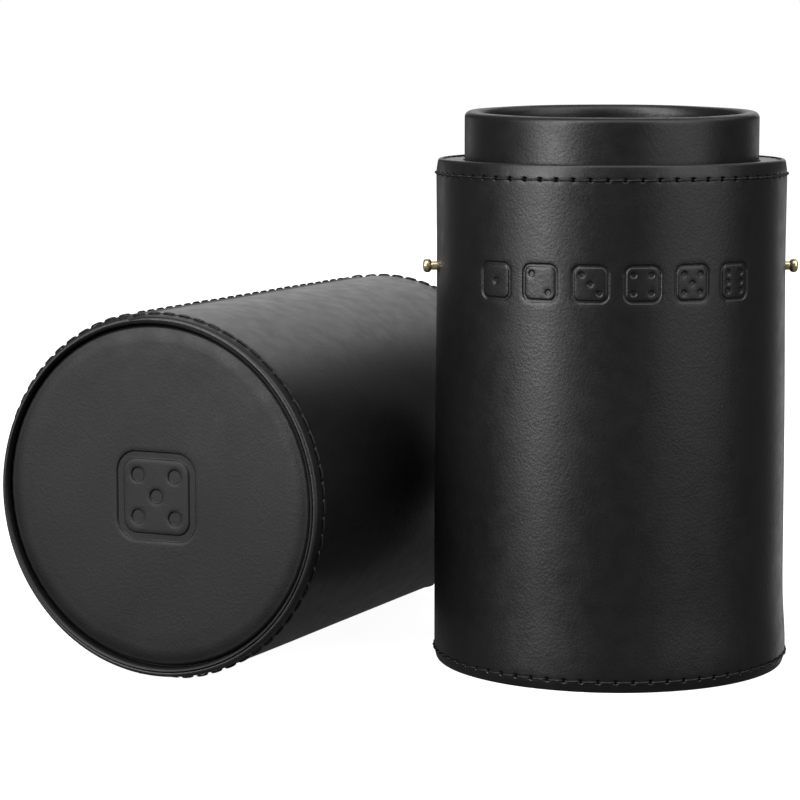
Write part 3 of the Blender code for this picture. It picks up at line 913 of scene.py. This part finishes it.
def build_collar():
    """The leather wrap of the collar: up its outside, over the lip and down inside the bore.

    The lip is thin, slopes away into the bore, and is a little lower in front than behind.
    """
    outer, inner, top = COLLAR_RADIUS, BORE_RADIUS, RIM_HEIGHT
    slope, fall = LIP_SLOPE
    hem = top - HEM_DEPTH
    profile = [(outer - SKIN_THICKNESS, COLLAR_FOOT), (outer, COLLAR_FOOT)]
    profile += arc((outer - LIP_EDGE, top - LIP_EDGE), LIP_EDGE, 0.0, pi / 2.0)
    profile += arc((inner + slope, top - fall), slope, pi / 2.0, pi, fall)
    profile += [(inner, hem), (inner + SKIN_THICKNESS, hem), (inner + SKIN_THICKNESS, top - fall)]
    profile += [(outer - SKIN_THICKNESS, top - SKIN_THICKNESS)]

    def shape(radius, angle, height):
        outside = rise(radius, outer - 0.5, outer - 0.2)
        joint = 0.3 * bump_at(wrapped(angle - BACK) * outer, 0.16)
        drop = LIP_DROP + LIP_TILT * (1.0 - np.sin(angle))
        drop = drop - 0.02 * np.sin(7.0 * angle) - 0.02 * np.sin(4.0 * angle + 2.0)
        moved = radius - outside * (joint - 0.4 * undulation(angle, height))
        return moved, angle, height - drop * rise(height, hem, top)

    def cell(radius, angle, height, reach):
        near_joint = np.abs(wrapped(angle - BACK) * outer) < 0.5 + reach
        on_outside = radius > outer - 0.1
        return np.where(near_joint & on_outside, 0.2, BASE_CELL)

    def worn_and_highlit(radius, angle, height):
        # The lip's top painted paler: scuffing, and a painted highlight line along the lip.
        return 0.8 * rise(height, top - 0.7, top - 0.1)

    profile = filled(profile, 0.9)
    return turned("cup_collar", "cup", profile, levels=3, cell=cell, shape=shape, worn_and_highlit=worn_and_highlit,
                  columns=COLUMNS["collar"])


def build_collar_core():
    """The board tube inside the collar's leather, cut off low enough to stay inside the sloping lip."""
    inner = BORE_RADIUS + SKIN_THICKNESS + FIT_GAP
    covered = COLLAR_RADIUS - SKIN_THICKNESS - FIT_GAP
    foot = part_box("collar_tube")[0].z / MM
    top = RIM_HEIGHT - SKIN_THICKNESS - LIP_DROP - 2.0 * LIP_TILT - FIT_GAP
    profile = [(inner, foot), (COLLAR_RADIUS, foot), (COLLAR_RADIUS, COLLAR_FOOT - FIT_GAP)]
    profile += [(covered, COLLAR_FOOT - FIT_GAP), (covered, top), (inner, top)]
    return turned("cup_collar_core", "cup", profile)


def build_bore_lining(body, bore, low, high):
    """A tube of lining, with the line where its edges meet and a slightly uneven inside."""
    profile = rounded_ring(bore, bore + LINING_THICKNESS, low, high, 0.1, 0.25)

    def shape(radius, angle, height):
        inside = radius < bore + LINING_THICKNESS / 2.0
        joint = 0.3 * bump_at(wrapped(angle - 0.6) * bore, 0.2)
        return np.where(inside, radius + joint + np.abs(undulation(angle, height)), radius), angle, height

    return turned(f"{body}_bore_lining", body, filled(profile, 1.6), shape=shape, columns=COLUMNS["lining"])


def build_floor_pad(body, outer, low):
    """A soft disc with a rounded edge."""
    edge = 0.5
    foot = 0.2
    top = low + FLOOR_PAD_THICKNESS
    profile = [(0.0, low), (0.5, low)]
    profile += arc((outer - foot, low + foot), foot, -pi / 2.0, 0.0)
    profile += arc((outer - edge, top - edge), edge, 0.0, pi / 2.0)
    profile += [(0.5, top), (0.0, top)]
    profile = filled(profile, 1.2, closed=False)

    def shape(radius, angle, height):
        face = rise(height, low + 0.5, low + 1.0) * rise(radius, outer, outer - 3.0)
        x, y = plan(radius, angle)
        soft = np.sin(x / 4.1 + 0.4) * np.sin(y / 3.3 + 1.0)
        return radius, angle, height - face * (0.12 + 0.08 * soft)

    return turned(f"{body}_floor_pad", body, profile, closed=False, shape=shape, columns=COLUMNS["pad"])


def build_base_panel():
    """The panel sunk in the cup's underside, a groove round it, and its flange inside the sleeve's edge."""
    outer = CUP_FIT_RADIUS + SNUG["base"]
    inner = outer - TRIM_THICKNESS
    back = PANEL_DEPTH + TRIM_THICKNESS
    face = PANEL_DEPTH - 0.25
    groove = PANEL_DEPTH + 0.55
    edge = 0.3
    foot = 0.1 + edge
    profile = [(0.0, face), (0.5, face), (inner - 4.0, PANEL_DEPTH - 0.2)]
    profile += arc((inner - 1.6, PANEL_DEPTH + 0.9), 1.1, -pi / 2.0, -0.15)[1:]
    profile = [(r, min(z, groove)) for r, z in profile]
    profile += [(inner, PANEL_DEPTH + 0.2)]
    profile += arc((inner + edge, foot), edge, pi, 1.5 * pi)
    profile += arc((outer - edge, foot), edge, -pi / 2.0, 0.0)
    profile += [(outer, back), (0.5, back), (0.0, back)]

    def shape(radius, angle, height):
        x, y = plan(radius, angle)
        on_face = rise(radius, inner - 2.0, inner - 5.0) * (height < PANEL_DEPTH + 0.3)
        return radius, angle, height + on_face * 0.07 * np.sin(x / 6.0 + 0.4) * np.sin(y / 5.0 + 1.0)

    def worn_and_highlit(radius, angle, height):
        # The flange's foot painted paler: scuffing, and a painted highlight along the bottom edge.
        return rise(height, 0.5, 0.0)

    profile = filled(profile, 1.0, closed=False)
    return turned("cup_base_panel", "cup", profile, closed=False, shape=shape, worn_and_highlit=worn_and_highlit,
                  columns=COLUMNS["base"])


def build_stud(side, sign):
    """A brass stud: a rounded drum of a head with a slot, on a neck that goes through the leather.

    It is drawn pointing up from the sleeve's surface, and its back is bored for the screw.
    """
    rounding = STUD_HEAD_RADIUS - STUD_EDGE
    centre = STUD_REACH - STUD_HALF_DEPTH
    head_back = centre - STUD_HALF_DEPTH
    foot = -(SLEEVE_THICKNESS + 0.15)
    profile = [(0.0, STUD_REACH), (0.3, STUD_REACH)]
    profile += arc((rounding, STUD_REACH - 0.1 - STUD_EDGE), STUD_EDGE, pi / 2.0, 0.0)
    profile += arc((rounding, head_back + STUD_EDGE), STUD_EDGE, 0.0, -pi / 2.0)
    profile += [(STUD_NECK_RADIUS, head_back), (STUD_NECK_RADIUS, foot), (STUD_BORE_RADIUS, foot)]
    profile += [(STUD_BORE_RADIUS, STUD_BORE_END), (0.05, STUD_BORE_END), (0.0, STUD_BORE_END)]
    profile = filled(profile, 0.14, closed=False)

    def shape(radius, angle, height):
        x, y = plan(radius, angle)
        beyond = np.maximum(np.abs(y) - SLOT_HALF_WIDTH, np.abs(x) - SLOT_HALF_LENGTH)
        return radius, angle, height - SLOT_DEPTH * smooth(0.5 - beyond / 0.08) * (height > centre + 0.2)

    def cell(radius, angle, height, reach):
        return np.where(height > centre, STUD_CELL, 4.0 * STUD_CELL)

    stud = turned(f"stud_{side}_brass", "cup", profile, closed=False, levels=2, cell=cell, shape=shape,
                  columns=COLUMNS["stud"])
    seat = Matrix.Translation((sign * CUP_RADIUS * MM, 0.0, STUD_HEIGHT * MM))
    turn = Matrix.Rotation(sign * pi / 2.0, 4, "Y") @ Matrix.Rotation(SLOT_TURN, 4, "Z")
    stud.matrix_world = PLACES["cup"] @ seat @ turn
    return stud


# ------------------------------ the lid


def build_lid(paints):
    count = RING_STITCHES["lid"]
    rows = ((LID_END_ROW_HEIGHT, count, 0.0), (LID_LENGTH - STITCH_FROM_END, count, MOUTH_ROW_PHASE))
    seam = seam_line("lid", LID_SEAM_ANGLE, LID_LENGTH)
    sleeve = Sleeve(LID_RADIUS, LID_LENGTH, lid_form, rows, seam)
    build_sewn_sleeve("lid", sleeve, ("end", "mouth"), paints, floor=THREAD_FLOOR_GAP - LID_RADIUS)

    panel = build_end_panel()
    finish_piece(panel, "leather", paints["panel_leather"], "lid_end_leather")
    padding = build_padding()
    finish_piece(padding, "foam", paints["foam"], "lid_end_foam")
    lining_top = LID_LENGTH - HEM_DEPTH - FIT_GAP
    pieces = (
        (build_mouth(), "leather", "lid_mouth_leather"),
        (build_bore_lining("lid", LID_BORE_RADIUS, LID_FLOOR, lining_top), "lining", "lid_lining"),
        (build_floor_pad("lid", LID_BORE_RADIUS - FIT_GAP, LID_FLOOR), "lining", "lid_end_lining"),
    )
    for piece, slot, cad_node in pieces:
        finish_piece(piece, slot, paints[slot], cad_node)


def build_end_panel():
    """The padded end: a nearly flat face that rolls over into a groove, and the flange round it."""
    outer = LID_FIT_RADIUS + SNUG["end"]
    inner = outer - FLANGE_THICKNESS
    face, groove = 0.85, 2.7
    roll_start = inner - 1.2
    back = PANEL_DEPTH + TRIM_THICKNESS
    crowned = [(14.0, 0.03), (30.0, 0.08), (inner - 3.4, 0.14), (inner - 2.3, 0.26), (roll_start, 0.5)]
    profile = [(0.0, face), (0.3, face)] + [(radius, face + fall) for radius, fall in crowned]
    profile += arc((roll_start, groove), inner - 0.25 - roll_start, -pi / 2.0, 0.0, groove - face - 0.5)[1:]
    profile += arc((inner - 0.12, groove), 0.12, pi / 2.0, 0.0)
    profile += arc((outer - 0.1, 0.85), outer - 0.1 - inner, pi, 1.5 * pi, 0.8)
    profile += arc((outer - 0.1, 0.05 + 0.1), 0.1, -pi / 2.0, 0.0)
    profile += [(outer, back), (0.3, back), (0.0, back)]

    def on_face(radius, height):
        return (radius < inner - 0.3) & (height < face + 1.2)

    def mark(radius, angle):
        return die_distance(*plan(radius, angle), LID_FACE_SIZE, 5)

    def shape(radius, angle, height):
        x, y = plan(radius, angle)
        soft = 0.05 * np.sin(x / 9.0 + 0.5) * np.sin(y / 8.0 + 1.1) + 0.03 * np.sin(x / 4.0 + y / 5.0)
        puckers = 0.06 * np.cos(RING_STITCHES["lid"] * angle) * bump_at(radius - roll_start - 0.4, 0.8)
        sunk = pressed(mark(radius, angle), LID_PRESS_DEPTH) + soft + puckers
        return radius, angle, height + np.where(on_face(radius, height), sunk, 0.0)

    def cell(radius, angle, height, reach):
        wanted = mark_cell(mark(radius, angle), LID_MARK_MARGIN, reach, PANEL_CELL)
        return np.where(on_face(radius, height), wanted, PANEL_CELL)

    def worn_and_highlit(radius, angle, height):
        # The flange's outer end painted paler: scuffing, and a painted highlight line round the lid's rim.
        return rise(radius, inner - 0.1, inner + 0.2) * rise(height, 0.5, 0.0)

    profile = filled(profile, 0.8, closed=False)
    return turned("lid_end_panel", "lid", profile, closed=False, levels=3, cell=cell, shape=shape,
                  worn_and_highlit=worn_and_highlit, columns=COLUMNS["end"])


def build_padding():
    """The foam that fills the panel out, from its back to the board."""
    outer = LID_FIT_RADIUS - TRIM_THICKNESS - 1.0
    front = PANEL_DEPTH + TRIM_THICKNESS + 0.05
    back = PANEL_DEPTH + TRIM_THICKNESS + 1.5
    edge = 2.4
    profile = [(0.0, back), (0.5, back), (outer, back)]
    profile += arc((outer - edge, 5.0), edge, 0.0, -pi / 2.0, 0.3)
    profile += [(0.5, front), (0.0, front)]
    profile = filled(profile, 1.2, closed=False)

    def shape(radius, angle, height):
        x, y = plan(radius, angle)
        dimples = 0.03 * np.sin(x / 2.1) * np.sin(y / 1.7)
        return radius, angle, height + dimples * (height > back - 0.2)

    return turned("lid_end_padding", "lid", profile, closed=False, shape=shape, columns=COLUMNS["pad"])


def build_mouth():
    """The leather turned over the lid's mouth, with one flange against the sleeve and one down the bore."""
    inner, outer = LID_BORE_RADIUS, LID_FIT_RADIUS + SNUG["mouth"]
    top = LID_LENGTH - 0.25
    under = top - TRIM_THICKNESS
    low = LID_LENGTH - HEM_DEPTH
    profile = [(inner, low), (inner + TRIM_THICKNESS, low), (inner + TRIM_THICKNESS, under)]
    profile += [(outer - TRIM_THICKNESS, under), (outer - TRIM_THICKNESS, low), (outer, low)]
    for centre, edge, start in ((outer - 0.35, 0.35, 0.0), (inner + 0.6, 0.6, pi / 2.0)):
        profile += arc((centre, top - edge), edge, start, start + pi / 2.0)

    def shape(radius, angle, height):
        pucker = 0.03 * np.cos(RING_STITCHES["lid"] * angle) * rise(radius, outer - 2.0, outer - 0.4)
        return radius, angle, height - rise(height, under + 0.3, under + 0.8) * (pucker + 0.04)

    def worn_and_highlit(radius, angle, height):
        # The mouth's top painted paler: scuffing, and a painted highlight along the edge.
        return 0.7 * rise(height, top - 0.6, top - 0.1)

    return turned("lid_mouth_binding", "lid", filled(profile, 0.8), shape=shape, worn_and_highlit=worn_and_highlit,
                  columns=COLUMNS["mouth"])


# ------------------------------ kept CAD pieces, stage, lights, camera


def finish_hidden_nodes(paints):
    """The pieces inside keep their CAD shape and get a worked material."""
    for name, obj in frame["nodes"].items():
        if obj.hide_render:
            continue
        obj.data.materials.clear()
        obj.data.materials.append(paints["brass" if name.startswith("stud_screw") else "board"])


def stage_material():
    """A pale, softly glowing floor, brighter away from the object, and clear from below."""
    material, tree, shader, place = new_material("pale_floor")
    length = tree.nodes.new("ShaderNodeVectorMath")
    length.operation = "LENGTH"
    tree.links.new(place, length.inputs[0])
    shader.inputs["Base Color"].default_value = (*grey(0.6), 1.0)
    shader.inputs["Roughness"].default_value = 0.9
    shader.inputs["Specular IOR Level"].default_value = 0.0
    shader.inputs["Emission Color"].default_value = (1.0, 1.0, 1.0, 1.0)
    glow = ramp(tree, length.outputs["Value"], FLOOR_GLOW, 1.0, *FLOOR_GLOW_SPAN)
    tree.links.new(glow, shader.inputs["Emission Strength"])
    clear = tree.nodes.new("ShaderNodeBsdfTransparent")
    mix = tree.nodes.new("ShaderNodeMixShader")
    tree.links.new(tree.nodes.new("ShaderNodeNewGeometry").outputs["Backfacing"], mix.inputs["Fac"])
    tree.links.new(shader.outputs["BSDF"], mix.inputs[1])
    tree.links.new(clear.outputs["BSDF"], mix.inputs[2])
    tree.links.new(mix.outputs["Shader"], tree.nodes["Material Output"].inputs["Surface"])
    return material


def build_stage():
    mesh = bpy.data.meshes.new("floor")
    half = FLOOR_HALF_SIZE
    corners = [(-half, -half, 0.0), (half, -half, 0.0), (half, half, 0.0), (-half, half, 0.0)]
    mesh.from_pydata(corners, [], [(0, 1, 2, 3)])
    mesh.materials.append(stage_material())
    floor = bpy.data.objects.new("floor", mesh)
    floor.visible_glossy = False
    floor.visible_diffuse = False
    floor.visible_shadow = False
    bpy.context.scene.collection.objects.link(floor)


def area_light(name, azimuth, elevation, width, height, brightness):
    """A soft box facing the object. Azimuth 0 is behind the camera, and 90 degrees is to its right."""
    azimuth, elevation = radians(azimuth), radians(elevation)
    light = bpy.data.lights.new(name, "AREA")
    light.shape = "RECTANGLE"
    light.size = 2.0 * LIGHT_DISTANCE * tan(radians(width) / 2.0)
    light.size_y = 2.0 * LIGHT_DISTANCE * tan(radians(height) / 2.0)
    light.energy = brightness * pi * light.size * light.size_y
    obj = bpy.data.objects.new(name, light)
    bpy.context.scene.collection.objects.link(obj)
    out = Vector((sin(azimuth) * cos(elevation), -cos(azimuth) * cos(elevation), sin(elevation)))
    obj.location = Vector((0.0, 0.0, LIGHT_AIM_HEIGHT)) + out * LIGHT_DISTANCE
    obj.rotation_euler = (-out).to_track_quat("-Z", "Y").to_euler()
    obj.visible_camera = False


def build_lights():
    """A white backdrop for the camera, a dim surround for the object, and soft boxes."""
    world = bpy.data.worlds.new("studio")
    world.use_nodes = True
    tree = world.node_tree
    seen = tree.nodes.new("ShaderNodeLightPath").outputs["Is Camera Ray"]
    background = tree.nodes["Background"]
    background.inputs["Color"].default_value = (1.0, 1.0, 1.0, 1.0)
    tree.links.new(ramp(tree, seen, SURROUND, 1.0), background.inputs["Strength"])
    bpy.context.scene.world = world
    for light in SOFT_BOXES:
        area_light(*light)


def build_camera():
    data = bpy.data.cameras.new("camera")
    data.sensor_width = CAMERA_SENSOR
    data.lens = CAMERA_LENS
    data.clip_start, data.clip_end = CAMERA_CLIP
    camera = bpy.data.objects.new("camera", data)
    bpy.context.scene.collection.objects.link(camera)
    camera.location = PLACES["cup"] @ (Vector(CAMERA_PLACE) * MM)
    camera.rotation_euler = (pi / 2.0 - CAMERA_PITCH, 0.0, 0.0)
    bpy.context.scene.camera = camera


def main():
    paints = {
        "leather": leather("black_leather", 0.008, roughness=0.36, specular=0.5, grain=1.0),
        "panel_leather": leather("black_panel_leather", 0.010, roughness=0.46, specular=0.35, grain=0.8),
        "thread": thread_material(),
        "lining": lining_material(),
        "brass": brass_material(),
        "board": board_material(),
        "foam": foam_material(),
    }
    build_camera()
    build_cup(paints)
    build_lid(paints)
    finish_hidden_nodes(paints)
    build_stage()
    build_lights()
    bpy.context.scene.view_settings.view_transform = "Standard"


main()
